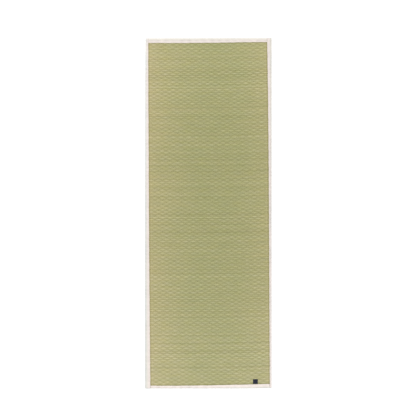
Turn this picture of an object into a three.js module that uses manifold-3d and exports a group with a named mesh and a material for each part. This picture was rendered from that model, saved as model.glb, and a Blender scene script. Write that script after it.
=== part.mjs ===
// A thin tatami mat of the goza kind: one panel of woven rush, its raw edges bound all round with
// folded cotton strips, and a small woven cloth tab sewn on near one corner.
//
// Millimetres, +Z up. The mat lies on the floor at z = 0 with its middle over the origin. X runs
// across it and Y along it: "near" is -Y, "far" is +Y, "left" is -X and "right" is +X.

import * as THREE from 'three';
import { mergeVertices } from 'three/addons/utils/BufferGeometryUtils.js';
import Module from 'manifold-3d';

// Driving dimensions.
const MAT_WIDTH = 650;
const MAT_LENGTH = 1800;
const RUSH_THICKNESS = 3;
const CLOTH_THICKNESS = 1;
const FIT_GAP = 0.3; // between one piece and the next
const TAB_SIZE = 25;
const TAB_CORNER_RADIUS = 2;

// The cloth folds round the panel's edge: one layer below it, one above.
const EDGE_LIFT = CLOTH_THICKNESS + FIT_GAP;
const EDGE_HEIGHT = RUSH_THICKNESS + 2 * EDGE_LIFT;
const FOLD_RADIUS = 2 * CLOTH_THICKNESS;
const FOLD_SEGMENTS = 5;

// The panel's rim rides on the lower layer of cloth. Inwards of it the rush sinks to the floor.
const RIM_WIDTH = 55;
const SINK_WIDTH = 60;
const SINK_STEPS = 5;

// Corners of the finished mat from above, anticlockwise. The ends are cut a little out of square.
const CORNERS = [
  { at: 'near left', x: -MAT_WIDTH / 2, y: -MAT_LENGTH / 2 },
  { at: 'near right', x: MAT_WIDTH / 2, y: -MAT_LENGTH / 2 + 3 },
  { at: 'far right', x: MAT_WIDTH / 2, y: MAT_LENGTH / 2 },
  { at: 'far left', x: -MAT_WIDTH / 2 + 3, y: MAT_LENGTH / 2 - 2 },
];

// How far each side strip reaches in over the rush, at steps along the mat. The panel was bound
// slightly askew, so a strip that is wide at one end is narrow at the other.
const SIDE_STRIPS = [
  { y: -900, left: 27.6, right: 9.5 },
  { y: -600, left: 24.6, right: 11 },
  { y: -300, left: 21.8, right: 12 },
  { y: 0, left: 19.7, right: 13.5 },
  { y: 300, left: 18.2, right: 15.2 },
  { y: 600, left: 16.2, right: 18 },
  { y: 900, left: 15.5, right: 22.5 },
];

// The same for the end strips, at steps across the mat.
const END_STRIPS = [
  { x: -300, near: 13.3, far: 24.2 },
  { x: -200, near: 13, far: 25 },
  { x: -100, near: 13.6, far: 24.6 },
  { x: 0, near: 15, far: 24 },
  { x: 100, near: 17.2, far: 22.6 },
  { x: 200, near: 19.2, far: 21 },
  { x: 300, near: 21.8, far: 20.2 },
];

// The tab's middle.
const TAB_PLACE = { x: 242, y: -865.5 };

const FINISH = {
  rush: { color: 0xaca97b, roughness: 0.75, metalness: 0 },
  cotton: { color: 0xece5db, roughness: 0.9, metalness: 0 },
  navyCloth: { color: 0x262b3a, roughness: 0.85, metalness: 0 },
};

const wasm = await Module();
wasm.setup();

function toSolid(geometry) {
  const bare = new THREE.BufferGeometry();
  bare.setAttribute('position', geometry.getAttribute('position'));
  bare.setIndex(geometry.getIndex());
  const welded = mergeVertices(bare);
  return new wasm.Manifold(new wasm.Mesh({
    numProp: 3,
    vertProperties: new Float32Array(welded.getAttribute('position').array),
    triVerts: new Uint32Array(welded.getIndex().array),
  }));
}

function toGeometry(solid) {
  const { vertProperties, triVerts } = solid.getMesh();
  const geometry = new THREE.BufferGeometry();
  geometry.setAttribute('position', new THREE.BufferAttribute(vertProperties, 3));
  geometry.setIndex(new THREE.BufferAttribute(triVerts, 1));
  geometry.computeVertexNormals();
  return geometry;
}

function toMesh(name, geometry, finish) {
  const mesh = new THREE.Mesh(geometry, new THREE.MeshStandardMaterial(FINISH[finish]));
  mesh.name = name;
  return mesh;
}

// The mat's outline with every edge moved in by a distance.
function insetOutline(distance) {
  const edges = CORNERS.map((start, i) => {
    const end = CORNERS[(i + 1) % CORNERS.length];
    const along = new THREE.Vector2(end.x - start.x, end.y - start.y).normalize();
    const inward = new THREE.Vector2(-along.y, along.x).multiplyScalar(distance);
    return { from: new THREE.Vector2(start.x, start.y).add(inward), along };
  });
  return edges.map((edge, i) => {
    const before = edges[(i + edges.length - 1) % edges.length];
    const apart = edge.from.clone().sub(before.from);
    const reach = apart.cross(edge.along) / before.along.cross(edge.along);
    return before.from.clone().addScaledVector(before.along, reach);
  });
}

// An upright prism with the given outline, between two heights.
function prism(outline, bottom, top) {
  const geometry = new THREE.ExtrudeGeometry(new THREE.Shape(outline), {
    depth: top - bottom,
    bevelEnabled: false,
  });
  return toSolid(geometry.translate(0, 0, bottom));
}

// The bound mat as one block, with its rim rounded as the folded cloth is.
function roundedBlock() {
  const geometry = new THREE.ExtrudeGeometry(new THREE.Shape(insetOutline(0)), {
    depth: EDGE_HEIGHT - 2 * FOLD_RADIUS,
    bevelThickness: FOLD_RADIUS,
    bevelSize: FOLD_RADIUS,
    bevelOffset: -FOLD_RADIUS,
    bevelSegments: FOLD_SEGMENTS,
  });
  return toSolid(geometry.translate(0, 0, FOLD_RADIUS));
}

// The block hollowed out to one layer of cloth all round.
function clothShell() {
  const inside = prism(insetOutline(CLOTH_THICKNESS), CLOTH_THICKNESS, EDGE_HEIGHT - CLOTH_THICKNESS);
  return roundedBlock().subtract(inside);
}

// The ground that a side strip covers, from outside the mat in to its inner edge. spare widens it.
function sideGround(side, spare = 0) {
  const sign = side === 'left' ? -1 : 1;
  const innerX = (row) => sign * (MAT_WIDTH / 2 - row[side] - spare);
  const first = SIDE_STRIPS[0];
  const last = SIDE_STRIPS[SIDE_STRIPS.length - 1];
  const outline = [
    new THREE.Vector2(sign * MAT_WIDTH, -MAT_LENGTH),
    new THREE.Vector2(innerX(first), -MAT_LENGTH),
    ...SIDE_STRIPS.map((row) => new THREE.Vector2(innerX(row), row.y)),
    new THREE.Vector2(innerX(last), MAT_LENGTH),
    new THREE.Vector2(sign * MAT_WIDTH, MAT_LENGTH),
  ];
  return prism(outline, -EDGE_HEIGHT, 2 * EDGE_HEIGHT);
}

// The ground that an end strip covers, right across the mat.
function endGround(end) {
  const sign = end === 'near' ? -1 : 1;
  const innerY = (row) => sign * (MAT_LENGTH / 2 - row[end]);
  const first = END_STRIPS[0];
  const last = END_STRIPS[END_STRIPS.length - 1];
  const outline = [
    new THREE.Vector2(-MAT_WIDTH, sign * MAT_LENGTH),
    new THREE.Vector2(-MAT_WIDTH, innerY(first)),
    ...END_STRIPS.map((row) => new THREE.Vector2(row.x, innerY(row))),
    new THREE.Vector2(MAT_WIDTH, innerY(last)),
    new THREE.Vector2(MAT_WIDTH, sign * MAT_LENGTH),
  ];
  return prism(outline, -EDGE_HEIGHT, 2 * EDGE_HEIGHT);
}

// The side strips run the mat's full length and close over its corners.
function sideStrip(side) {
  const strip = clothShell().intersect(sideGround(side));
  return toMesh(`binding_${side}`, toGeometry(strip), 'cotton');
}

// The end strips fill the stretch between the side strips.
function endStrip(end) {
  const strip = clothShell()
    .intersect(endGround(end))
    .subtract(sideGround('left', FIT_GAP))
    .subtract(sideGround('right', FIT_GAP));
  return toMesh(`binding_${end}_end`, toGeometry(strip), 'cotton');
}

// Where the panel's grid lines fall along one of its sides, as shares of that side's length.
function gridLines(length) {
  const rim = [0];
  for (let step = 0; step <= SINK_STEPS; step += 1) {
    rim.push(RIM_WIDTH + (SINK_WIDTH * step) / SINK_STEPS);
  }
  const shares = rim.map((distance) => distance / length);
  return [...shares, ...shares.map((share) => 1 - share).reverse()];
}

// 1 on the rim that rides on the cloth, easing to 0 where the rush meets the floor.
function rimShare(share, length) {
  const distance = Math.min(share, 1 - share) * length;
  return 1 - THREE.MathUtils.smoothstep(distance, RIM_WIDTH, RIM_WIDTH + SINK_WIDTH);
}

// One sheet of woven rush, cut to fit inside the folds of the binding.
function rushPanel() {
  const [nearLeft, nearRight, farRight, farLeft] = insetOutline(EDGE_LIFT);
  const columns = gridLines(MAT_WIDTH);
  const rows = gridLines(MAT_LENGTH);
  const sheet = new THREE.BoxGeometry(
    1,
    1,
    RUSH_THICKNESS,
    columns.length - 1,
    rows.length - 1,
    1,
  );
  const place = sheet.getAttribute('position');
  for (let i = 0; i < place.count; i += 1) {
    const across = columns[Math.round((place.getX(i) + 0.5) * (columns.length - 1))];
    const along = rows[Math.round((place.getY(i) + 0.5) * (rows.length - 1))];
    const near = nearLeft.clone().lerp(nearRight, across);
    const far = farLeft.clone().lerp(farRight, across);
    const spot = near.lerp(far, along);
    const sunk = (1 - rimShare(across, MAT_WIDTH)) * (1 - rimShare(along, MAT_LENGTH));
    const bottom = EDGE_LIFT * (1 - sunk);
    place.setXYZ(i, spot.x, spot.y, bottom + RUSH_THICKNESS / 2 + place.getZ(i));
  }
  return toMesh('rush_panel', toGeometry(toSolid(sheet)), 'rush');
}

// A square of woven cloth with soft corners, sewn down on the rush.
function clothTab() {
  const half = TAB_SIZE / 2;
  const shape = new THREE.Shape();
  shape.moveTo(half, 0);
  for (const quarter of [0, 1, 2, 3]) {
    const turn = (quarter * Math.PI) / 2;
    const middle = new THREE.Vector2(half - TAB_CORNER_RADIUS, half - TAB_CORNER_RADIUS)
      .rotateAround(new THREE.Vector2(), turn);
    shape.absarc(middle.x, middle.y, TAB_CORNER_RADIUS, turn, turn + Math.PI / 2);
  }
  shape.closePath();
  const geometry = new THREE.ExtrudeGeometry(shape, {
    depth: CLOTH_THICKNESS,
    bevelEnabled: false,
    curveSegments: 6,
  });
  const tab = toMesh('cloth_tab', toGeometry(toSolid(geometry)), 'navyCloth');
  tab.position.set(TAB_PLACE.x, TAB_PLACE.y, EDGE_LIFT + RUSH_THICKNESS + FIT_GAP);
  return tab;
}

const mat = new THREE.Group();
mat.add(
  rushPanel(),
  sideStrip('left'),
  sideStrip('right'),
  endStrip('near'),
  endStrip('far'),
  clothTab(),
);

export default mat;
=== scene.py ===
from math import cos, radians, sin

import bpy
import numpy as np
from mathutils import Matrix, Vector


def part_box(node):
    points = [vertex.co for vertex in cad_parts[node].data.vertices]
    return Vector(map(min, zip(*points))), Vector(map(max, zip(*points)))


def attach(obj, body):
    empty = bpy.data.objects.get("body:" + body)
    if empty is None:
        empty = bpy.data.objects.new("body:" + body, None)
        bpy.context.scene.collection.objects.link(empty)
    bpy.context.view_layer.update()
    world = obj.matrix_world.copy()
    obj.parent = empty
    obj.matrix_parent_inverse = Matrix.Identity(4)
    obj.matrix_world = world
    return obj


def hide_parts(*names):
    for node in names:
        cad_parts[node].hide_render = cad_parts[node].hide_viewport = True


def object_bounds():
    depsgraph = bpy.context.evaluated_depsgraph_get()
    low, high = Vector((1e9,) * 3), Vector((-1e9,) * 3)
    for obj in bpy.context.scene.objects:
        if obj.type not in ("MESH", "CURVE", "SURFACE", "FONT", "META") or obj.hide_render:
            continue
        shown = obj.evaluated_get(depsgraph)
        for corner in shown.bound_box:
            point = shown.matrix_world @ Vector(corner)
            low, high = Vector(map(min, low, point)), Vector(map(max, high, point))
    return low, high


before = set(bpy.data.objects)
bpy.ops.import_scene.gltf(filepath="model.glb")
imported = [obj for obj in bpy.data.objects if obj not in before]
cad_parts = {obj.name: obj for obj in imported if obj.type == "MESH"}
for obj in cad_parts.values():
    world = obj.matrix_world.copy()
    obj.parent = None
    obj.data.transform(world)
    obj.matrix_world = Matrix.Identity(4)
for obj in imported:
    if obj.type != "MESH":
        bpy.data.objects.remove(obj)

# A bound rush mat lying on a pale floor, seen from straight above. Metres, +Z up. X runs across
# the mat and Y along it. The rush is woven from bundles of stalks that run across the mat and pass
# over one warp and under the next, so that each bundle swells into a lens where it lies on top.

CAD_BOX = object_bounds()

MM = 0.001
X, Y, Z = 0, 1, 2

# ---------------------------------------------------------------- driving values

# The CAD model's ends and top, to the micrometre.
NEAR_END, FAR_END = round(CAD_BOX[0][Y], 6), round(CAD_BOX[1][Y], 6)
CAD_TOP = round(CAD_BOX[1][Z], 6)

# The mat's frame in the photograph: how many millimetres a pixel covers, and where its middle lies.
PHOTO_SIDE_PX = 416
MM_PER_PX = 5.14
MAT_MIDDLE_PX = (208.3, 213.1)

# The weave. Its rows and warps are both a little askew to the mat.
WARP_PITCH = 19.7 * MM
ROW_PITCH = 10.15 * MM
ROW_TILT = radians(0.566)
WARP_TILT = radians(0.42)
WEAVE_ORIGIN = (0.7 * MM, -4.25 * MM)  # a bundle lies over a warp here
WARPS_EACH_SIDE = 16
THICK_WARP = 15  # the thick one near each side, past which the stalks' ends lie flat
LEFT_SHIFT, RIGHT_SHIFT = 1.3 * MM, 3.9 * MM  # how far that one stands out of line, towards +X
FIRST_ROW, LAST_ROW = -87, 87
LEFT_BOW, RIGHT_BOW = 2.8 * MM, 5.4 * MM  # how far the rows curve towards the far end there
FAR_CROWDING = -0.0014  # rows lie a little closer together towards the far end,
END_CROWDING = -0.0051  # and towards both ends

STALKS = 7  # in a bundle
SWELL = 0.36  # how much a bundle widens on top of a warp, as a share of its mean width
RIB_HEIGHT = 0.66 * MM  # a bundle's height where it passes under a warp
LENS_HEIGHT = 0.6 * MM  # and how much higher it is on top of one
LEAN = 1.25  # over 1 where a bundle is highest beyond its middle, towards the far end
STALK_RELIEF = 0.34  # a stalk's height over the groove beside it, as a share of its width
SEGMENTS = 4  # mesh columns from one warp to the next
BANDS = 4  # the sheet's mesh is cut into this many pieces along the mat

RUSH_THICKNESS = 3 * MM
CREST_ROOM = 0.3 * MM  # left over a lens for its stalks' crests
GROOVE_HEIGHT = RUSH_THICKNESS - RIB_HEIGHT - LENS_HEIGHT - CREST_ROOM
UNDER_RELIEF = 0.7 * MM

# How unevenly it is woven, as spreads of random numbers.
LINE_SPREAD = 0.035  # of the lines between bundles, in rows along
STALK_SPREAD = 0.02  # of a stalk's edges and crest, as a share of its bundle's width
FULLNESS_SPREAD = 0.12  # of a lens, as a share of its height

# How light the rush is painted, from about 0.1 in a groove to 0.8 on a lens: painted highlights on
# the lenses and the stalks' crests, and painted shade in the grooves and on each bundle's near
# side.
# These add up.
BASE_LIGHT = 0.217
LENS_LIGHT = 0.48  # painted highlight along a bundle's middle where it lies on top
MIDDLE_LIGHT = -0.12  # painted shade all along a bundle's middle
FAR_SIDE_LIGHT = 0.30  # painted light at a bundle's far side, more than at its near side, which is in painted shade
CREST_LIGHT = 0.2  # painted highlight along the middle of a stalk

# How stalks differ, as spreads of random numbers.
TONE_SPREAD = 0.8
BUNDLE_TONE_SPREAD = 0.08
HUE_SPREAD = 0.25
STRAW_SHARE, STRAW_HUE = 0.03, 0.8  # a few stalks are far more straw-coloured
FLAT_END_TONE = -0.3  # past the thick warps
UNDERSIDE_LOOKS = (0.0, 0.2, 0.7)  # its tone, hue and painted light

# The rim lies on the binding's lower layer, and the rush inwards of it sinks to the floor.
RIM_LIFT = round(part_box("rush_panel")[1][Z], 6) - RUSH_THICKNESS
RIM_WIDTH = 55 * MM
SINK_WIDTH = 60 * MM
FLOOR_WAVE = 0.25 * MM  # it doesn't lie quite flat there

# Seeds of the weave's random draws.
UPPER_SEED, UPPER_LINES_SEED, LENS_SEED, UNDER_LINES_SEED = 21, 22, 23, 31

# Warp threads show where they cross over a bundle.
THREAD_RADIUS = 0.42 * MM
THICK_THREAD_RADIUS = 0.95 * MM
THREAD_RISE = 0.3 * MM  # of its middle line over a bundle, besides half its radius
THREAD_RINGS, THREAD_SIDES = 5, 4  # of the mesh of each short thread or stitch

# The binding.
CLOTH = 0.9 * MM
FOLD_RADIUS = 2 * MM
FOLD_STEPS = 6
FLAP_TOP = CAD_TOP - 0.1 * MM
EMPTY_FOLD_DROP = 0.7 * MM  # the cloth sinks where it reaches past the rush
CLIMB_START, CLIMB_WIDTH = 2.2 * MM, 4 * MM  # it climbs from before the rush's edge, over this much
SLACK = 0.12 * MM  # how unevenly the fold stands and follows the mat's edge
HEM_DROP = 0.5 * MM
HEM_SHADE_WIDTH = 4.8 * MM  # of rush given a painted shadow beside a hem
GREY_WIDTH = 9 * MM  # of cloth greyed in from its fold, by handling and by painted shade on the rounded fold
HEM_WIDTH = 11 * MM  # of the cloth turned under along the upper hem
HEM_BLUR = 3 * MM  # of the soft line where it stops showing through
CREASE_WIDTH = 2.5 * MM  # of cloth given painted shade along the crease at the rush's edge
PUCKER = 0.15 * MM  # how far the flap rises and falls over the bundles below it
STATION_STEP = 5 * MM
TUCK_STEPS = 5  # extra stations where a side strip's end is folded in
HEM_WANDER_MM = ((190, 0.15), (83, 0.25), (41, 0.2), (23, 0.12))  # its waves: length and size
SEAM_INSET = 2.4 * MM
SEAM_WIDTH = 0.7 * MM  # of the dip that a row of stitches pulls in cloth, as round the tab
SEAM_DIP = 0.3 * MM
STITCH_PITCH = 4.2 * MM
STITCH_LENGTH = 3.3 * MM
STITCH_RADIUS = 0.32 * MM

# The tab.
TAB_STEPS = 24
TAB_CORNER = 2 * MM
TAB_SINK = 0.4 * MM  # how far it settles among the bundles
TAB_EDGE_WIDTH = 0.8 * MM  # of its rounded rim
TAB_STITCHES = 9  # along each side
TAB_STITCH_LENGTH = 1.7 * MM
TAB_SEAM_INSET = 2.2 * MM
TAB_SEAM_DIP = 0.15 * MM

# ---------------------------------------------------------------- colours and light

# A thread's two colours are those of its dark and light sides: painted shade in the grooves of its
# twist and painted light on its plies.
GREEN_RUSH, STRAW_RUSH = (0.284, 0.287, 0.131, 1), (0.384, 0.322, 0.164, 1)
GREENEST_PLACE = (45 * MM, 50 * MM)  # from here the rush turns warm with the distance's square
WARM_PLACE = (335 * MM, 930 * MM)
CREAM_COTTON, HEMMED_COTTON = (0.650, 0.615, 0.555, 1), (0.685, 0.616, 0.580, 1)
# the fold's grey, from wear and from painted shade on the rounded fold
WORN_AND_SHADED_COTTON = (0.56, 0.575, 0.555, 1)
CREAM_THREAD = (0.52, 0.47, 0.41, 1), (0.68, 0.62, 0.55, 1)
WARP_THREAD = (0.26, 0.235, 0.125, 1), (0.36, 0.32, 0.18, 1)
THICK_WARP_THREAD = (0.46, 0.39, 0.22, 1), (0.62, 0.53, 0.32, 1)
DARK_NAVY, LIGHT_NAVY = (0.009, 0.010, 0.016, 1), (0.022, 0.025, 0.040, 1)
NAVY_THREAD = (0.05, 0.055, 0.08, 1), (0.10, 0.11, 0.15, 1)
LINT = (0.2, 0.2, 0.2, 1)
DIM_FLOOR, BRIGHT_FLOOR = (0.77, 0.77, 0.77, 1), (0.79, 0.79, 0.79, 1)
WHITE = (1, 1, 1, 1)

# Places and sides are in metres.
SUN_PLACE = (-0.1, 0.9, 2.3)
SUN_ANGLE = radians(45)
SUN_STRENGTH = 2.55
ROOM_STRENGTH = 0.68
FLOOR_SIDE = 40
CAMERA_HEIGHT = 6.0
SENSOR_WIDTH_MM = 36

# ---------------------------------------------------------------- mesh helpers


def make_piece(name, points, faces, material):
    """A smooth-shaded mesh object in the mat's frame. faces is a list of whole-number arrays, each
    with one row of vertex numbers for every face."""
    mesh = bpy.data.meshes.new(name)
    mesh.vertices.add(len(points))
    mesh.vertices.foreach_set("co", np.asarray(points, np.float32).ravel())
    corners = np.concatenate([part.ravel() for part in faces]).astype(np.int32)
    sides = np.concatenate([np.full(len(part), part.shape[1]) for part in faces])
    starts = np.concatenate([[0], np.cumsum(sides)[:-1]]).astype(np.int32)
    mesh.loops.add(len(corners))
    mesh.loops.foreach_set("vertex_index", corners)
    mesh.polygons.add(len(sides))
    mesh.polygons.foreach_set("loop_start", starts)
    mesh.update(calc_edges=True)
    mesh.polygons.foreach_set("use_smooth", np.ones(len(sides), bool))
    mesh.materials.append(material)
    piece = bpy.data.objects.new(name, mesh)
    bpy.context.scene.collection.objects.link(piece)
    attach(piece, "root")
    return piece


def paint(piece, name, values):
    """Stores three numbers a vertex under a name that the materials read."""
    colours = np.ones((len(values), 4), np.float32)
    colours[:, :3] = values
    layer = piece.data.attributes.new(name, "FLOAT_COLOR", "POINT")
    layer.data.foreach_set("color", colours.ravel())


def corner_vertices(piece):
    """The number of the vertex at each corner of each face."""
    numbers = np.empty(len(piece.data.loops), np.int32)
    piece.data.loops.foreach_get("vertex_index", numbers)
    return numbers


def own_map(piece, places):
    """Gives the piece a flat map for baking its material, from a place for each corner."""
    layer = piece.data.uv_layers.new(name="OFBake")
    layer.uv.foreach_set("vector", np.asarray(places, np.float32).ravel())


def map_rings(piece, count, rings, sides):
    """Lays each of many tubes flat in its own cell of the map."""
    corners = corner_vertices(piece)
    tube, place = np.divmod(corners, rings * sides)
    ring, side = np.divmod(place, sides)
    order = np.arange(len(corners))
    is_beside = (order < count * (rings - 1) * sides * 4) & (order % 4 >= 2)
    around = np.where(is_beside & (side == 0), sides, side) / sides
    inside = 0.05 + 0.9 * np.stack([around, ring / (rings - 1)], axis=1)
    cells = int(np.ceil(np.sqrt(count)))
    cell = np.stack([tube % cells, tube // cells], axis=1)
    own_map(piece, (cell + inside) / cells)


def grid_quads(rows, columns, first=0):
    """Faces of a grid of vertices numbered row by row, seen from above with columns along +X."""
    start = first + np.arange(rows - 1)[:, None] * columns + np.arange(columns - 1)
    start = start.ravel()
    return np.stack([start, start + 1, start + columns + 1, start + columns], axis=1)


def wall_triangles(fine, coarse):
    """Faces between two lines of vertices, where fine has a whole number of steps to each step of
    coarse. They face left of the lines' direction when fine is above coarse."""
    ratio = (len(fine) - 1) // (len(coarse) - 1)
    faces = []
    for step in range(len(coarse) - 1):
        start = step * ratio
        for part in range(ratio):
            faces.append((coarse[step], fine[start + part], fine[start + part + 1]))
        faces.append((coarse[step], fine[start + ratio], coarse[step + 1]))
    return np.array(faces)


def close_sheet(top, bottom):
    """Faces of a closed sheet from the vertex numbers of its upper and lower grids."""
    rows, columns = top.shape
    under_rows, under_columns = bottom.shape
    return [
        grid_quads(rows, columns, top[0, 0]),
        grid_quads(under_rows, under_columns, bottom[0, 0])[:, ::-1],
        wall_triangles(top[:, 0], bottom[:, 0]),
        wall_triangles(top[:, -1], bottom[:, -1])[:, ::-1],
        wall_triangles(top[0], bottom[0])[:, ::-1],
        wall_triangles(top[-1], bottom[-1]),
    ]


def ring_walls(numbers):
    """Faces between neighbouring rings, from an array of the vertices' numbers by tube, ring and
    place round the ring."""
    beside = np.roll(numbers, -1, axis=2)
    walls = [numbers[:, :-1], numbers[:, 1:], beside[:, 1:], beside[:, :-1]]
    return np.stack(walls, axis=-1).reshape(-1, 4)


def arched_threads(middles, ahead, lengths, rise, radius):
    """Points and faces of many short threads, each of which comes up, arches over its middle and
    goes down again."""
    turn = np.linspace(0, np.pi, THREAD_RINGS)[:, None]
    lengths = np.broadcast_to(lengths, len(middles))[:, None, None]
    run = -np.cos(turn) / 2 * lengths * ahead[:, None]
    paths = middles[:, None] + run + np.sin(turn) * (0, 0, rise)
    course = np.gradient(paths, axis=1)
    aside = np.cross(course, (0, 0, 1))
    aside /= np.linalg.norm(aside, axis=2, keepdims=True)
    above = np.cross(aside, course)
    above /= np.linalg.norm(above, axis=2, keepdims=True)
    spin = (2 * np.pi * np.arange(THREAD_SIDES) / THREAD_SIDES)[:, None]
    rim = np.cos(spin) * aside[:, :, None] + np.sin(spin) * above[:, :, None]
    points = paths[:, :, None] + radius * rim
    numbers = np.arange(points.size // 3).reshape(points.shape[:3])
    faces = [ring_walls(numbers), numbers[:, 0], numbers[:, -1, ::-1]]
    return points.reshape(-1, 3), faces


def add_threads(name, middles, ahead, lengths, rise, radius, material, slot):
    """One piece of many short threads."""
    points, faces = arched_threads(middles, ahead, lengths, rise, radius)
    piece = make_piece(name, points, faces, material)
    map_rings(piece, len(middles), THREAD_RINGS, THREAD_SIDES)
    return piece


def smooth_step(values):
    """0 up to 0 and 1 from 1 on, easing from one to the other in between."""
    values = np.clip(values, 0, 1)
    return values * values * (3 - 2 * values)


def ripples(x, y, wavelength, seed, count=9):
    """A smooth random field of about -1 to 1 with no direction, the same on each run."""
    random = np.random.default_rng(seed)
    total = np.zeros(np.broadcast(x, y).shape)
    for _ in range(count):
        heading = random.uniform(0, 2 * np.pi)
        turn = 2 * np.pi / (wavelength * random.uniform(0.7, 1.6))
        phase = random.uniform(0, 2 * np.pi)
        total += np.cos(turn * (x * np.cos(heading) + y * np.sin(heading)) + phase)
    return total / np.sqrt(count)


# ---------------------------------------------------------------- materials


class Nodes:
    """Adds nodes to a material's tree."""

    def __init__(self, name):
        self.material = bpy.data.materials.new(name)
        self.material.use_nodes = True
        self.tree = self.material.node_tree
        self.shader = self.tree.nodes["Principled BSDF"]

    def add(self, kind, **settings):
        node = self.tree.nodes.new(kind)
        for name, value in settings.items():
            setattr(node, name, value)
        return node

    def put(self, socket, value):
        """Links a socket to another one, or sets it to a number or colour."""
        if isinstance(value, bpy.types.NodeSocket):
            self.tree.links.new(value, socket)
        else:
            socket.default_value = value

    def math(self, operation, *values):
        node = self.add("ShaderNodeMath", operation=operation)
        for socket, value in zip(node.inputs, values):
            self.put(socket, value)
        return node.outputs[0]

    def squared(self, value):
        return self.math("MULTIPLY", value, value)

    def product(self, *values):
        total = values[0]
        for value in values[1:]:
            total = self.math("MULTIPLY", total, value)
        return total

    def total(self, *values):
        total = values[0]
        for value in values[1:]:
            total = self.math("ADD", total, value)
        return total

    def ranged(self, value, low, high, to_low=0.0, to_high=1.0, clamp=True):
        node = self.add("ShaderNodeMapRange", clamp=clamp)
        for socket, number in zip(node.inputs, (value, low, high, to_low, to_high)):
            self.put(socket, number)
        return node.outputs[0]

    def mix(self, share, first, second, blend="MIX"):
        node = self.add("ShaderNodeMix", data_type="RGBA", blend_type=blend)
        self.put(node.inputs["Factor"], share)
        colours = [socket for socket in node.inputs if socket.type == "RGBA"]
        self.put(colours[0], first)
        self.put(colours[1], second)
        return next(socket for socket in node.outputs if socket.type == "RGBA")

    def lit(self, colour, light, blue=None):
        """A colour made lighter or darker, with its blue changed by another amount if given."""
        shade = self.add("ShaderNodeCombineColor")
        for socket, value in zip(shade.inputs, (light, light, light if blue is None else blue)):
            self.put(socket, value)
        return self.mix(1.0, colour, shade.outputs[0], "MULTIPLY")

    def places(self, scale=(1, 1, 1)):
        """The point on the object, in metres, stretched by scale."""
        mapping = self.add("ShaderNodeMapping")
        coordinates = self.add("ShaderNodeTexCoord")
        self.put(mapping.inputs["Vector"], coordinates.outputs["Object"])
        self.put(mapping.inputs["Scale"], scale)
        return mapping.outputs[0]

    def axes(self):
        parts = self.add("ShaderNodeSeparateXYZ")
        self.put(parts.inputs[0], self.places())
        return parts.outputs[0], parts.outputs[1], parts.outputs[2]

    def noise(self, vector, scale, detail=2.0, roughness=0.5):
        node = self.add("ShaderNodeTexNoise")
        self.put(node.inputs["Vector"], vector)
        self.put(node.inputs["Scale"], scale)
        self.put(node.inputs["Detail"], detail)
        self.put(node.inputs["Roughness"], roughness)
        return node.outputs["Fac"]

    def waves(self, along, wavelength):
        """Ridges from 0 to 1 across a distance in metres."""
        turn = self.math("MULTIPLY", along, 2 * np.pi / wavelength)
        return self.math("MULTIPLY_ADD", self.math("SINE", turn), 0.5, 0.5)

    def painted(self, name):
        """The three numbers that paint() stored on the mesh."""
        attribute = self.add("ShaderNodeAttribute", attribute_name=name)
        parts = self.add("ShaderNodeSeparateColor")
        self.put(parts.inputs[0], attribute.outputs["Color"])
        return parts.outputs[0], parts.outputs[1], parts.outputs[2]

    def finish(self, colour, roughness, specular, height, depth):
        self.put(self.shader.inputs["Base Color"], colour)
        self.put(self.shader.inputs["Roughness"], roughness)
        self.put(self.shader.inputs["Specular IOR Level"], specular)
        bump = self.add("ShaderNodeBump")
        self.put(bump.inputs["Height"], height)
        self.put(bump.inputs["Distance"], depth)
        self.put(self.shader.inputs["Normal"], bump.outputs[0])
        return self.material


def rush_material():
    """Dried rush: green in the middle of the mat, straw-coloured and paler towards its edges."""
    nodes = Nodes("dried rush")
    # the first painted number is each stalk's own tone, darkened by a painted shadow beside the
    # hems
    tone_and_shadow, hue, painted_light = nodes.painted("weave")
    x, y, _ = nodes.axes()
    fibre = nodes.noise(nodes.places((25, 1900, 1900)), 1.0, 3.0)
    mottle = nodes.noise(nodes.places((9, 60, 9)), 1.0, 1.5, 0.6)
    cloud = nodes.noise(nodes.places(), 5.0, 2.0)
    grey = nodes.noise(nodes.places((16, 70, 16)), 1.0, 2.0)

    side = nodes.squared(nodes.ranged(x, GREENEST_PLACE[X], WARM_PLACE[X], clamp=False))
    end = nodes.squared(nodes.ranged(y, GREENEST_PLACE[Y], WARM_PLACE[Y], clamp=False))
    warmth = nodes.total(
        nodes.math("MULTIPLY", side, 0.30),
        nodes.math("MULTIPLY", end, 0.06),
        nodes.math("MULTIPLY", hue, 0.25),
        nodes.ranged(cloud, 0.3, 0.7, 0.0, 0.12),
        nodes.ranged(mottle, 0.3, 0.7, -0.1, 0.1),
    )
    colour = nodes.mix(warmth, GREEN_RUSH, STRAW_RUSH)
    light = nodes.product(
        nodes.math("MULTIPLY_ADD", tone_and_shadow, 0.12, 1.0),
        nodes.ranged(fibre, 0.25, 0.75, 0.92, 1.08),
        # painted light and shade of the weave: highlights on lenses and crests, shade in grooves
        nodes.ranged(painted_light, 0.0, 1.0, 0.76, 1.12, clamp=False),
        nodes.math("MULTIPLY_ADD", side, 0.06, 0.99),
        nodes.math("MULTIPLY_ADD", end, 0.12, 1.0),
    )
    # blue follows the painted light more steeply, so that painted highlights turn whiter
    blue = nodes.product(
        nodes.math("POWER", light, 1.55),
        nodes.ranged(y, NEAR_END, FAR_END, 1.03, 0.97),
        nodes.ranged(grey, 0.25, 0.75, 0.9, 1.1),
    )
    roughness = nodes.ranged(fibre, 0.2, 0.8, 0.5, 0.68)
    return nodes.finish(nodes.lit(colour, light, blue), roughness, 0.35, fibre, 0.1 * MM)


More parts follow.
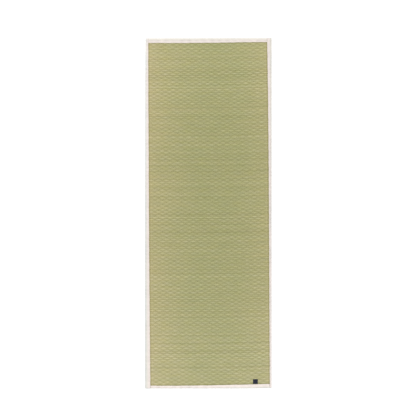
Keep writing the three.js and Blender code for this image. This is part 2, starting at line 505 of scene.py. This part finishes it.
def cotton_material():
    """Unbleached plain-weave cotton, paler where its turned-under hem backs it."""
    nodes = Nodes("cream cotton")
    hemmed, wear_and_fold_shade, shade = nodes.painted("strip")
    x, y, z = nodes.axes()
    thread = 0.55 * MM
    warp = nodes.waves(nodes.math("ADD", x, z), thread)
    weft = nodes.waves(nodes.math("SUBTRACT", y, z), thread)
    weave = nodes.math("MULTIPLY", warp, weft)
    slub = nodes.math(
        "ADD",
        nodes.noise(nodes.places((1400, 120, 1400)), 1.0),
        nodes.noise(nodes.places((120, 1400, 120)), 1.0),
    )
    mottle = nodes.noise(nodes.places(), 30.0, 3.0)

    colour = nodes.mix(hemmed, CREAM_COTTON, HEMMED_COTTON)
    # greyed at the fold, by wear and by painted shade
    colour = nodes.mix(wear_and_fold_shade, colour, WORN_AND_SHADED_COTTON)
    # the shade number carries painted light and shade: on the fold, along the crease and between
    # bundles
    light = nodes.product(
        nodes.ranged(mottle, 0.3, 0.7, 0.95, 1.03),
        nodes.ranged(slub, 0.7, 1.3, 0.97, 1.03),
        shade,
        nodes.ranged(weave, 0.0, 1.0, 0.95, 1.05),
    )
    height = nodes.math("MULTIPLY_ADD", slub, 0.5, weave)
    roughness = nodes.ranged(slub, 0.6, 1.4, 0.82, 0.95)
    return nodes.finish(nodes.lit(colour, light), roughness, 0.2, height, 0.08 * MM)


def thread_material(name, dark, light):
    """Twisted thread, with painted shade in the grooves of its twist and painted light on its
    plies.
    """
    nodes = Nodes(name)
    x, y, z = nodes.axes()
    twist = nodes.waves(nodes.total(x, y, z, z), 0.5 * MM)
    fuzz = nodes.noise(nodes.places(), 900.0)
    roughness = nodes.ranged(fuzz, 0.3, 0.7, 0.75, 0.95)
    return nodes.finish(nodes.mix(twist, dark, light), roughness, 0.2, twist, 0.06 * MM)


def navy_material():
    """Tightly woven navy cloth with a little lint on it."""
    nodes = Nodes("navy cloth")
    x, y, _ = nodes.axes()
    twill = nodes.waves(nodes.math("ADD", x, y), 0.7 * MM)
    lint = nodes.noise(nodes.places(), 700.0, 3.0)
    colour = nodes.mix(twill, DARK_NAVY, LIGHT_NAVY)
    colour = nodes.mix(nodes.ranged(lint, 0.62, 0.75, 0.0, 0.25), colour, LINT)
    roughness = nodes.ranged(lint, 0.3, 0.7, 0.7, 0.9)
    return nodes.finish(colour, roughness, 0.15, twill, 0.08 * MM)


def floor_material():
    """A pale matt floor, hardly uneven."""
    nodes = Nodes("pale floor")
    cloud = nodes.noise(nodes.places(), 3.0)
    colour = nodes.mix(cloud, DIM_FLOOR, BRIGHT_FLOOR)
    return nodes.finish(colour, 0.9, 0.1, cloud, 0.0)


# ---------------------------------------------------------------- the weave


def weave_columns(step):
    """Where the mesh's columns lie, in warps from the middle."""
    return np.arange(-WARPS_EACH_SIDE, WARPS_EACH_SIDE + step / 2, step)


def row_numbers():
    """The bundles' numbers, from the near end to the far end."""
    return np.arange(FIRST_ROW, LAST_ROW + 1)


def hold(u):
    """1 where warps hold the bundles into lenses, easing to 0 at the stalks' flat ends."""
    return 1 - smooth_step((np.abs(u) - THICK_WARP) * 2)


def over(u, rows):
    """How far each bundle lies on top: 1 over a warp, and 0 under one."""
    return (1 + hold(u) * np.cos(np.pi * (u + rows[:, None]))) / 2


def by_warp(random, rows, u, spread):
    """Random numbers for each row at each warp, joined up in between."""
    warps = np.arange(-WARPS_EACH_SIDE - 1, WARPS_EACH_SIDE + 2)
    values = random.normal(0, spread, (rows, len(warps)))
    below = np.clip(np.floor(u).astype(int), warps[0], warps[-1] - 1) - warps[0]
    share = smooth_step(u - warps[below])
    return values[:, below] * (1 - share) + values[:, below + 1] * share


def row_lines(u, swell, seed):
    """Where the lines between bundles run, in rows along: one more line than there are rows."""
    lines = np.arange(FIRST_ROW, LAST_ROW + 2)[:, None]
    bulge = swell / 2 * hold(u) * np.cos(np.pi * (u + lines - 1))
    random = np.random.default_rng(seed)
    return lines - 0.5 + bulge + by_warp(random, len(lines), u, LINE_SPREAD)


def mat_places(u, v):
    """X and Y of points given in warps across and rows along. The thick warps stand out of line,
    and draw the rush beside them along."""
    across = u * WARP_PITCH
    for thick, shift in ((-THICK_WARP, LEFT_SHIFT), (THICK_WARP, RIGHT_SHIFT)):
        across = across + shift * (1 - np.abs(u - thick)).clip(0)
    along = v * ROW_PITCH
    x = WEAVE_ORIGIN[X] + across * cos(ROW_TILT) - along * sin(WARP_TILT)
    y = WEAVE_ORIGIN[Y] + across * sin(ROW_TILT) + along * cos(WARP_TILT)
    bow = np.where(across < 0, LEFT_BOW, RIGHT_BOW)
    y = y + bow * (across / (WARPS_EACH_SIDE * WARP_PITCH)) ** 2
    return x, y + FAR_CROWDING * along + END_CROWDING * along**2


def floor_lift(x, y):
    """How high the panel's underside lies: raised on the rim, sunk to the floor inside it."""
    low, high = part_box("rush_panel")
    sunk = 1
    for place, axis in ((x, X), (y, Y)):
        distance = np.minimum(place - low[axis], high[axis] - place)
        sunk = sunk * smooth_step((distance - RIM_WIDTH) / SINK_WIDTH)
    waves = FLOOR_WAVE * (1.5 + ripples(x, y, 0.4, 13))
    return RIM_LIFT * (1 - sunk) + np.maximum(waves, 0) * sunk


def stalk_shares(random, rows):
    """Each stalk's edge and crest as shares of its bundle's width, with no two stalks alike."""
    widths = random.uniform(0.7, 1.3, (rows, STALKS))
    edges = np.cumsum(widths, axis=1) / widths.sum(axis=1, keepdims=True)
    edges = np.concatenate([np.zeros((rows, 1)), edges], axis=1)
    shares = np.empty((rows, 2 * STALKS))
    shares[:, 0::2] = edges[:, :-1]
    shares[:, 1::2] = (edges[:, :-1] + edges[:, 1:]) / 2
    return shares


def stalk_looks(random, rows):
    """How light and how straw-coloured each stalk is, at its edge and its crest."""
    tones = random.normal(0, TONE_SPREAD, (rows, STALKS))
    bundle_tones = random.normal(0, BUNDLE_TONE_SPREAD, (rows, 1))
    tones += bundle_tones - 0.5 * tones.mean(axis=1, keepdims=True)
    hues = np.abs(random.normal(0, HUE_SPREAD, (rows, STALKS)))
    hues += (random.random((rows, STALKS)) < STRAW_SHARE) * STRAW_HUE
    looks = np.empty((rows, 2 * STALKS, 2))
    looks[:, 1::2] = np.stack([tones, hues], axis=-1)
    looks[:, 0::2] = (looks[:, 1::2] + np.roll(looks[:, 1::2], 1, axis=1)) / 2
    return looks[:, :, None]


def hem_shadows(strips, x, y):
    """How dark the painted shadow on the rush is beside the strips' hems."""
    hem_shade = np.zeros(x.shape)
    for strip in strips:
        along, across = (x, y) if strip.axis == X else (y, x)
        apart = (strip.hem_at(along) - across) * strip.sign
        hem_shade += strip.shadow * np.exp(-((apart.clip(0) / HEM_SHADE_WIDTH) ** 2))
    return hem_shade


def stalk_lines(random, u, lines, shares):
    """Where each stalk's edge and crest run, in rows along."""
    wander = by_warp(random, shares.size, u, STALK_SPREAD).reshape(shares.shape[:2] + (-1,))
    wander[:, 0] = 0
    return lines[:-1, None] + np.diff(lines, axis=0)[:, None] * (shares + wander)


def lens_shares(random, u, rows):
    """How far each bundle swells, as over() does, but with no two lenses quite alike."""
    fullness = 1 + by_warp(random, len(rows), u, FULLNESS_SPREAD)
    x, y = u[None] * WARP_PITCH, rows[:, None] * ROW_PITCH
    fullness *= 1 + 0.08 * ripples(x, y, 0.12, LENS_SEED)
    return (over(u, rows) * fullness)[:, None]


def stalk_ridges(random, lines):
    """How high each stalk's crest stands above its edges."""
    widths = np.diff(lines, axis=0)[:, None] * ROW_PITCH / STALKS
    ridges = np.zeros((len(widths), 2 * STALKS, widths.shape[2]))
    ridges[:, 1::2] = STALK_RELIEF * widths * random.uniform(0.8, 1.2, (len(widths), STALKS, 1))
    return ridges


def weave_painted_light(shares, arch, lens):
    """The painted light and shade on each place on the bundles: highlights on lenses and stalks'
    crests, shade in the grooves and on each bundle's near side.
    """
    light = (LENS_LIGHT * lens + MIDDLE_LIGHT) * arch + FAR_SIDE_LIGHT * (shares - 0.5) + BASE_LIGHT
    light[:, 1::2] += CREST_LIGHT
    return light


def weave_looks(random, strips, u, v, light):
    """What is painted on the upper face: its stalks' tones and hues, a painted shadow beside the
    hems, and painted light and shade.
    """
    looks = np.empty(v.shape + (3,))
    looks[..., :2] = stalk_looks(random, len(v))
    looks[..., 2] = light
    looks[..., 0] += FLAT_END_TONE * smooth_step((np.abs(u) - THICK_WARP - 0.15) * 5)
    places = mat_places(u, v)
    # painted shadow beside every hem, warmer beside the side strips
    looks[..., 0] -= hem_shadows(strips, *places)
    side_strips = [strip for strip in strips if strip.axis == Y]
    looks[..., 1] += 0.3 * hem_shadows(side_strips, *places)
    return looks


def mesh_rows(values, last):
    """Values given by bundle and then by stalk line, as one row of the mesh after another, with
    one more to close the last bundle."""
    return np.concatenate([values.reshape((-1,) + values.shape[2:]), last])


def upper_weave(strips):
    """The upper face's points and what is painted on them, with a mesh row for each stalk's edge
    and crest."""
    random = np.random.default_rng(UPPER_SEED)
    u = weave_columns(1 / SEGMENTS)
    rows = row_numbers()
    lines = row_lines(u, SWELL, UPPER_LINES_SEED)
    shares = stalk_shares(random, len(rows))[:, :, None]
    v = stalk_lines(random, u, lines, shares)
    lens = lens_shares(random, u, rows)
    arch = np.sqrt(np.clip(1 - (2 * shares**LEAN - 1) ** 2, 0, 1))
    ridges = stalk_ridges(random, lines)
    height = GROOVE_HEIGHT + (RIB_HEIGHT + LENS_HEIGHT * lens) * arch + ridges
    looks = weave_looks(random, strips, u, v, weave_painted_light(shares, arch, lens))
    height = mesh_rows(height, np.full((1, len(u)), GROOVE_HEIGHT))
    points = on_floor(u, mesh_rows(v, lines[-1:]), height)
    return points, mesh_rows(looks, looks[-1, :1])


def lower_weave():
    """The underside's points, more coarsely: a mesh row for each bundle's edge and middle."""
    u = weave_columns(2 / SEGMENTS)
    rows = row_numbers()
    lines = row_lines(u, -SWELL, UNDER_LINES_SEED)
    v = np.empty((2 * len(rows) + 1, len(u)))
    v[0::2] = lines
    v[1::2] = (lines[:-1] + lines[1:]) / 2
    height = np.full(v.shape, UNDER_RELIEF)
    height[1::2] *= over(u, rows)
    return on_floor(u, v, height)


def on_floor(u, v, height):
    """Points of the sheet, from their places in the weave and their heights over its underside."""
    x, y = mat_places(u[None], v)
    return np.stack([x, y, height + floor_lift(x, y)], axis=-1)


def mark_grooves(piece, top_count, columns):
    """Makes the lines between stalks sharp, so that each is shaded as a round one, and the rim."""
    mesh = piece.data
    ends = np.empty(2 * len(mesh.edges), np.int32)
    mesh.edges.foreach_get("vertices", ends)
    ends = ends.reshape(-1, 2)
    on_top = ends < top_count
    row = ends // columns
    groove = on_top.all(axis=1) & (row[:, 0] == row[:, 1]) & (row[:, 0] % 2 == 0)
    layer = mesh.attributes.new("sharp_edge", "BOOLEAN", "EDGE")
    layer.data.foreach_set("value", groove | (on_top[:, 0] != on_top[:, 1]))


def map_band(piece, points, top_count):
    """Maps the upper face over most of the picture, and the underside in a strip beside it."""
    low, high = points[:, :2].min(axis=0), points[:, :2].max(axis=0)
    flat = 0.005 + 0.99 * (points[:, :2] - low) / (high - low)
    is_top = np.arange(len(points)) < top_count
    flat[:, 1] = np.where(is_top, 0.8 * flat[:, 1], 0.81 + 0.18 * flat[:, 1])
    own_map(piece, flat[corner_vertices(piece)])


def weave_band(number, upper, looks, lower, material):
    """One closed band of the woven sheet."""
    ends = np.linspace(0, LAST_ROW - FIRST_ROW + 1, BANDS + 1).astype(int)
    first, last = ends[number : number + 2]
    top = upper[first * 2 * STALKS : last * 2 * STALKS + 1]
    bottom = lower[first * 2 : last * 2 + 1]
    points = np.concatenate([top.reshape(-1, 3), bottom.reshape(-1, 3)])
    top_count = top.size // 3
    numbers = np.arange(len(points))
    top_numbers = numbers[:top_count].reshape(top.shape[:2])
    bottom_numbers = numbers[top_count:].reshape(bottom.shape[:2])
    faces = close_sheet(top_numbers, bottom_numbers)
    band = make_piece(f"rush_weave_{number + 1}", points, faces, material)
    mark_grooves(band, top_count, top.shape[1])
    top_looks = looks[first * 2 * STALKS : last * 2 * STALKS + 1].reshape(-1, 3)
    under_looks = np.tile(UNDERSIDE_LOOKS, (len(points) - top_count, 1))
    paint(band, "weave", np.concatenate([top_looks, under_looks]))
    map_band(band, points, top_count)
    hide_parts("rush_panel")


def warp_threads(name, warps, radius, material):
    """The warps' threads, where they cross over bundles and pinch them."""
    rows = row_numbers()
    lines = row_lines(warps, SWELL, UPPER_LINES_SEED)
    low, high = lines[:-1], lines[1:]
    crosses = (warps + rows[:, None]) % 2 == 1
    points = on_floor(warps, (low + high) / 2, np.full(low.shape, GROOVE_HEIGHT))[crosses]
    lengths = 1.05 * ROW_PITCH * (high - low)[crosses]
    ahead = np.tile([-sin(WARP_TILT), cos(WARP_TILT), 0], (len(points), 1))
    rise = RIB_HEIGHT + THREAD_RISE + radius / 2
    return add_threads(name, points, ahead, lengths, rise, radius, material, "rush")


# ---------------------------------------------------------------- the binding


def node_points(node):
    """The points of one of the CAD model's solids."""
    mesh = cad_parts[node].data
    points = np.empty(3 * len(mesh.vertices))
    mesh.vertices.foreach_get("co", points)
    return points.reshape(-1, 3)


def mat_corner(across, along):
    """The finished mat's corner towards these signs of X and Y."""
    points = np.concatenate([node_points("binding_left"), node_points("binding_right")])
    return points[np.argmax(points[:, X] * across + points[:, Y] * along)][:2]


class Strip:
    """One strip of binding. Places on it are given along the mat's edge, and inwards from it."""

    def __init__(self, node, axis, sign, reach, turn=1, spare=(0, 0), shadow=1.2):
        """The strip runs along axis, on the mat's side of that sign. reach is how far in the
        rush's edge lies. A turn over 1 keeps the outer edge straight until it nears its end.
        spare widens the cloth at its start and its end. shadow says how dark the rush is beside
        its hem."""
        self.node, self.axis, self.sign, self.reach = node, axis, sign, reach
        self.across = Y if axis == X else X
        self.turn, self.spare, self.shadow = turn, spare, shadow
        self.look()
        low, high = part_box(node)
        self.start, self.end = low[axis], high[axis]
        self.corners = self.find_corners()
        self.hem = self.find_hem(high[Z])
        self.random = np.random.default_rng(40 + 2 * axis + (sign > 0))
        self.wobble = self.random.uniform(0, 2 * np.pi, len(HEM_WANDER_MM))

    def find_corners(self):
        """Where the mat's corners at the strip's two ends lie, along the strip and across it."""
        signs = np.array([[-1, -1], [1, 1]])
        signs[:, self.across] = self.sign
        corners = np.array([mat_corner(*pair) for pair in signs])
        return corners[:, self.axis], corners[:, self.across]

    def find_hem(self, top):
        """Where the CAD solid's upper inner edge lies, along the strip and across it."""
        points = node_points(self.node)
        points = points[points[:, Z] > top - 0.1 * MM]
        outermost = abs(self.corners[1]).min() - 2 * FOLD_RADIUS
        hem = points[np.abs(points[:, self.across]) < outermost]
        hem = hem[np.argsort(hem[:, self.axis])]
        return hem[:, self.axis], hem[:, self.across]

    def look(self, shade=(1,), fold=(1,), grey=(0,), crease_shade=0.09):
        """How light the whole strip is, the painted light and shade on its fold, and how grey its
        fold is from wear and from painted shade, each from its start to its end. The last says how
        dark the painted shade is along the crease at the rush's edge."""
        self.shade, self.fold, self.grey, self.crease_shade = shade, fold, grey, crease_shade

    def blend(self, values, along):
        """Values spread evenly from the strip's start to its end, and joined up in between."""
        return np.interp(along, np.linspace(self.start, self.end, len(values)), values)[:, None]

    def stations(self):
        """Places along the strip that run anticlockwise round the mat."""
        count = int((self.end - self.start) / STATION_STEP) + 1
        along = np.linspace(self.start, self.end, count)
        if self.axis == Y:
            tuck = FOLD_RADIUS * (1 - np.cos(np.linspace(0.1, 1, TUCK_STEPS) * np.pi / 2))
            along = np.concatenate([self.start + tuck, along[1:-1], self.end - tuck[::-1]])
            along[0] = self.start
        clockwise = (self.axis == Y) == (self.sign < 0)
        return along[::-1] if clockwise else along

    def edge(self, along):
        """Where the mat's outer edge lies, across the strip."""
        (first, last), (start, end) = self.corners
        share = ((along - first) / (last - first)).clip(0, 1)
        return start + (end - start) * share**self.turn

    def hem_at(self, along):
        """Where the strip's inner edge lies, but for its wander."""
        spare = np.interp(along, (self.start, self.end), self.spare)
        return np.interp(along, *self.hem) - self.sign * spare

    def width(self, along):
        """How far the cloth reaches in, with the slow and quick wander of a hand-sewn hem."""
        turn = 2 * np.pi * along / MM
        waves = zip(HEM_WANDER_MM, self.wobble)
        wander = sum(size * np.sin(turn / length + phase) for (length, size), phase in waves)
        return abs(self.hem_at(along) - self.edge(along)) + wander * MM

    def places(self, along, inwards, height):
        """Points of the mat's frame, as an array with X, Y and Z last."""
        along, inwards, height = np.broadcast_arrays(along, inwards, height)
        points = np.empty(along.shape + (3,))
        points[..., self.axis] = along
        points[..., self.across] = self.edge(along) - self.sign * inwards
        points[..., Z] = height
        return points


def over_bundles(strip, along):
    """1 where a bundle's lens lies beside the strip or under it, and 0 halfway to the next one."""
    pitch = ROW_PITCH if strip.axis == Y else WARP_PITCH
    return (1 + np.cos(np.pi * along[:, None] / pitch)) / 2


def flap_profile(strip, along):
    """The cloth's outer face at each station, from the lower hem round the fold to the upper hem:
    how far inwards and how high each point is."""
    width = strip.width(along)[:, None]
    slack = SLACK * ripples(along, 0 * along, 0.06, 51 + strip.axis)[:, None]
    fold_top = FLAP_TOP - EMPTY_FOLD_DROP + slack
    lower = width + (FOLD_RADIUS - width) * np.linspace(0, 1, 5)[:-1]
    turn = np.linspace(-0.5, 0.5, FOLD_STEPS + 1) * np.pi
    fold_in = FOLD_RADIUS * (1 - np.cos(turn)) + 0 * width
    fold_up = fold_top / 2 * (1 + np.sin(turn))
    flat_end = width - 2 * SEAM_INSET
    flap = FOLD_RADIUS + (flat_end - FOLD_RADIUS) * np.linspace(0, 1, 8)[1:]
    by_seam = np.array([1.5, 1.2, 1, 0.8, 0.5, 0.15, 0])  # closer together across the seam's dip
    seam = width - SEAM_INSET * by_seam
    upper = np.concatenate([flap, seam], axis=1)
    rise = smooth_step((upper - strip.reach + CLIMB_START) / CLIMB_WIDTH)
    height = fold_top + (FLAP_TOP - fold_top - PUCKER * (1 - over_bundles(strip, along))) * rise
    height -= SEAM_DIP * np.exp(-(((upper - width + SEAM_INSET) / SEAM_WIDTH) ** 2))
    height -= HEM_DROP * smooth_step(1 + (upper - width) / SEAM_INSET) ** 2
    inwards = np.concatenate([lower, fold_in, upper], axis=1)
    up = np.concatenate([0 * lower, fold_up, height], axis=1)
    return inwards, up


def inside_of(inwards, up):
    """The cloth's inner face, one thickness in from its outer face."""
    step_in = np.gradient(inwards, axis=1)
    step_up = np.gradient(up, axis=1)
    length = np.hypot(step_in, step_up)
    return inwards + CLOTH * step_up / length, up - CLOTH * step_in / length


def tucked(strip, along, up):
    """Heights drawn together at a side strip's ends, where its cloth is folded in."""
    if strip.axis == X:
        return up
    left = np.clip(np.minimum(along - strip.start, strip.end - along) / FOLD_RADIUS, 0.01, 1)
    squeeze = np.sqrt(1 - (1 - left) ** 2)[:, None]
    middle = FLAP_TOP / 2
    return middle + (up - middle) * squeeze


def strip_ends(numbers):
    """Faces that close a strip's two cut ends, between the cloth's outer and inner faces."""
    half = numbers.shape[2] // 2
    faces = []
    for loop, way in ((numbers[0, 0], 1), (numbers[0, -1], -1)):
        outer, inner = loop[:half], loop[half:][::-1]
        end = np.stack([outer[:-1], outer[1:], inner[1:], inner[:-1]], axis=1)
        faces.append(end[:, ::way])
    return faces


def strip_looks(strip, along, inwards):
    """What is painted on a strip: where its hem backs it, how grey its fold is from wear and
    painted shade, and its painted light and shade.
    """
    gentle = ripples(along, 0 * along, 0.5, 67 + strip.axis + strip.sign)[:, None]
    middling = ripples(along, 0 * along, 0.15, 63 + strip.axis)[:, None]
    quick = ripples(along, 0 * along, 0.09, 61 + strip.axis)[:, None]
    on_fold = np.exp(-((inwards / GREY_WIDTH) ** 2))
    # grey at the fold: wear, and painted shade on the rounded fold
    wear_and_fold_shade = (strip.blend(strip.grey, along) + 0.2 * quick).clip(0, 1) * on_fold

    from_hem = strip.width(along)[:, None] - inwards
    hemmed = 1 - smooth_step((from_hem - HEM_WIDTH) / HEM_BLUR)
    between = 1 - over_bundles(strip, along)
    # painted shade along the crease at the rush's edge, darker where the cloth dips between bundles
    crease_shade = strip.crease_shade + (0.08 + 0.06 * middling).clip(0.02) * between
    crease_shade = crease_shade * np.exp(-(((inwards - strip.reach) / CREASE_WIDTH) ** 2))
    # the strip's shade, with painted light and shade on its fold
    shade = strip.blend(strip.shade, along) * (1 + (strip.blend(strip.fold, along) - 1) * on_fold)
    # painted shade where the hemmed cloth dips between the bundles, and a gentle random tone
    shade *= (1 - crease_shade) * (1 - 0.04 * between * hemmed) * (1 + 0.015 * gentle)
    return np.stack([hemmed, wear_and_fold_shade, shade], axis=-1).reshape(-1, 3)


def binding_strip(strip, material):
    """A strip of cloth folded round the mat's edge."""
    along = strip.stations()
    outer_in, outer_up = flap_profile(strip, along)
    inner_in, inner_up = inside_of(outer_in, outer_up)
    inwards = np.concatenate([outer_in, inner_in[:, ::-1]], axis=1)
    up = np.concatenate([outer_up, inner_up[:, ::-1]], axis=1)
    share = np.clip(inwards / strip.width(along)[:, None], 0, 1)
    ease = SLACK * (1 + ripples(along, 0 * along, 0.11, 57 + strip.axis)).clip(0)[:, None]
    points = strip.places(along[:, None], inwards + ease * (1 - share), tucked(strip, along, up))
    rings, sides = points.shape[:2]
    numbers = np.arange(rings * sides).reshape(1, rings, sides)
    faces = [ring_walls(numbers), *strip_ends(numbers)]
    piece = make_piece(strip.node + "_cloth", points.reshape(-1, 3), faces, material)
    map_rings(piece, 1, rings, sides)
    paint(piece, "strip", strip_looks(strip, along, inwards))
    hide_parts(strip.node)
    return piece


def seam_stitches(strip, material):
    """A line of stitches just inside the strip's upper hem."""
    along = np.arange(strip.start + STITCH_PITCH, strip.end - STITCH_PITCH, STITCH_PITCH)
    along += strip.random.normal(0, 0.1, len(along)) * MM
    inwards = strip.width(along) - SEAM_INSET + strip.random.normal(0, 0.08, len(along)) * MM
    middles = strip.places(along, inwards, FLAP_TOP - SEAM_DIP - STITCH_RADIUS)
    step = 0.1 * MM
    ahead = strip.places(along + step, strip.width(along + step) - SEAM_INSET, 0)
    ahead -= strip.places(along, strip.width(along) - SEAM_INSET, 0)
    ahead /= np.linalg.norm(ahead, axis=1, keepdims=True)
    name = strip.node + "_stitches"
    sizes = STITCH_LENGTH, 1.3 * STITCH_RADIUS, STITCH_RADIUS
    return add_threads(name, middles, ahead, *sizes, material, "cotton")


def binding_strips():
    """The four strips, as each looks in the photograph."""
    left = Strip(
        "binding_left", Y, -1, 5.5 * MM, turn=10, spare=(-0.3 * MM, 1.2 * MM), shadow=2.0
    )
    left.look(shade=(0.985, 0.965, 0.985), fold=(0.97, 1.04, 1.12), grey=(0.95, 0.8), crease_shade=0.03)
    right = Strip("binding_right", Y, 1, 6 * MM, spare=(-0.6 * MM, 0.3 * MM), shadow=1.9)
    right.look(shade=(0.99, 0.905, 0.935), fold=(1, 1.02), grey=(0.1, 0.2))
    near = Strip("binding_near_end", X, -1, 4 * MM, turn=10, shadow=3.2)
    near.look(shade=(1.02,), crease_shade=0)
    far = Strip("binding_far_end", X, 1, 11.5 * MM, spare=(1.5 * MM, 0.9 * MM))
    far.look(shade=(0.97,))
    return [left, right, near, far]


def add_binding(strips):
    """Folded cotton strips sewn on all round."""
    cotton = cotton_material()
    thread = thread_material("cream thread", *CREAM_THREAD)
    for strip in strips:
        cloth = binding_strip(strip, cotton)
        stitches = seam_stitches(strip, thread)
        width = 2 * strip.width(np.linspace(strip.start, strip.end, 50)).mean() + FLAP_TOP


# ---------------------------------------------------------------- the tab


def tab_grid(half):
    """X and Y of the tab's grid from its middle, with its corners drawn in to be round."""
    steps = np.linspace(-half, half, TAB_STEPS + 1)
    x, y = np.meshgrid(steps, steps)
    beyond = (np.stack([np.abs(x), np.abs(y)]) - (half - TAB_CORNER)).clip(0)
    reach = np.hypot(*beyond)
    pull = np.where(reach > TAB_CORNER, TAB_CORNER / np.maximum(reach, TAB_CORNER), 1)
    x = np.sign(x) * (np.abs(x) - beyond[X] * (1 - pull))
    y = np.sign(y) * (np.abs(y) - beyond[Y] * (1 - pull))
    return x, y


def tab_cloth(middle, half, bottom, thickness):
    """The tab's cloth, rounded off at its rim and dipping along its seam."""
    x, y = tab_grid(half)
    edge = half - np.maximum(np.abs(x), np.abs(y))
    round_off = np.sqrt(1 - (1 - (edge / TAB_EDGE_WIDTH).clip(0, 1)) ** 2)
    seam = np.exp(-(((edge - TAB_SEAM_INSET) / SEAM_WIDTH) ** 2))
    top = bottom + thickness * (0.5 + 0.5 * round_off) - TAB_SEAM_DIP * seam
    top += 0.06 * MM * ripples(x, y, 0.012, 71)
    upper = np.stack([x + middle[X], y + middle[Y], top], axis=-1).reshape(-1, 3)
    lower = upper.copy()
    lower[:, Z] = bottom
    numbers = np.arange(len(upper)).reshape(x.shape)
    faces = close_sheet(numbers, numbers + len(upper))
    points = np.concatenate([upper, lower])
    return make_piece("tab_cloth", points, faces, navy_material())


def tab_stitches(middle, half, top):
    """A row of stitches along each of the tab's sides."""
    seam = half - TAB_SEAM_INSET
    along = np.linspace(-1, 1, 2 * TAB_STITCHES + 1)[1::2] * seam
    middles, ahead = [], []
    for turn in np.arange(4) * np.pi / 2:
        forward = np.array([np.cos(turn), np.sin(turn), 0])
        outward = np.array([np.sin(turn), -np.cos(turn), 0])
        middles.append(along[:, None] * forward + seam * outward)
        ahead.append(np.tile(forward, (len(along), 1)))
    middles = np.concatenate(middles)
    middles += middle[X], middle[Y], top - TAB_SEAM_DIP - STITCH_RADIUS
    ahead = np.concatenate(ahead)
    sizes = TAB_STITCH_LENGTH, 1.2 * STITCH_RADIUS, STITCH_RADIUS
    thread = thread_material("navy thread", *NAVY_THREAD)
    return add_threads("tab_stitches", middles, ahead, *sizes, thread, "navy_cloth")


def add_tab():
    """A small square of navy cloth sewn down flat on the rush."""
    low, high = (np.array(corner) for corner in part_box("cloth_tab"))
    middle, half = (low + high) / 2, (high - low)[X] / 2
    bottom = low[Z] - TAB_SINK
    thickness = (high - low)[Z]
    cloth = tab_cloth(middle, half, bottom, thickness)
    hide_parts("cloth_tab")
    stitches = tab_stitches(middle, half, bottom + thickness)


# ---------------------------------------------------------------- floor, light and camera


def add_floor():
    """A floor that reaches past the picture, a hair below the mat."""
    half = FLOOR_SIDE / 2
    corners = [(-half, -half, 0), (half, -half, 0), (half, half, 0), (-half, half, 0)]
    mesh = bpy.data.meshes.new("floor")
    mesh.from_pydata(corners, [], [(0, 1, 2, 3)])
    mesh.materials.append(floor_material())
    floor = bpy.data.objects.new("floor", mesh)
    floor.location.z = -0.05 * MM
    bpy.context.scene.collection.objects.link(floor)


def add_sun():
    """A wide soft light from beyond the mat's far end."""
    lamp = bpy.data.lights.new("key", "SUN")
    lamp.angle = SUN_ANGLE
    lamp.energy = SUN_STRENGTH
    sun = bpy.data.objects.new("key", lamp)
    sun.location = SUN_PLACE
    sun.rotation_euler = sun.location.to_track_quat("Z", "Y").to_euler()
    bpy.context.scene.collection.objects.link(sun)


def add_room():
    """A white room, which lights the mat evenly from all round."""
    world = bpy.data.worlds.new("white room")
    world.use_nodes = True
    background = world.node_tree.nodes["Background"]
    background.inputs["Color"].default_value = WHITE
    background.inputs["Strength"].default_value = ROOM_STRENGTH
    bpy.context.scene.world = world


def add_camera():
    """Straight above, placed so that the mat's middle falls where it does in the photograph."""
    metres_per_px = MM_PER_PX * MM
    camera = bpy.data.cameras.new("camera")
    camera.sensor_width = SENSOR_WIDTH_MM
    camera.lens = SENSOR_WIDTH_MM * CAMERA_HEIGHT / (PHOTO_SIDE_PX * metres_per_px)
    eye = bpy.data.objects.new("camera", camera)
    right = PHOTO_SIDE_PX / 2 - MAT_MIDDLE_PX[X]
    up = MAT_MIDDLE_PX[Y] - PHOTO_SIDE_PX / 2
    eye.location = (right * metres_per_px, up * metres_per_px, CAMERA_HEIGHT + RUSH_THICKNESS)
    bpy.context.scene.collection.objects.link(eye)
    bpy.context.scene.camera = eye


# ---------------------------------------------------------------- the scene


def add_weave(strips):
    """The woven rush and the warp threads that show on it."""
    inner = np.arange(1 - THICK_WARP, THICK_WARP)
    outer = np.array([-THICK_WARP, THICK_WARP])
    thin = thread_material("warp thread", *WARP_THREAD)
    thick = thread_material("thick warp", *THICK_WARP_THREAD)
    threads = [
        warp_threads("warp_threads", inner, THREAD_RADIUS, thin),
        warp_threads("thick_warp_threads", outer, THICK_THREAD_RADIUS, thick),
    ]
    rush = rush_material()
    upper, looks = upper_weave(strips)
    lower = lower_weave()
    for number in range(BANDS):
        weave_band(number, upper, looks, lower, rush)


def build():
    """Everything in the picture."""
    add_camera()
    add_floor()
    add_sun()
    add_room()
    bpy.context.scene.view_settings.view_transform = "Standard"
    strips = binding_strips()
    add_weave(strips)
    add_binding(strips)
    add_tab()


build()
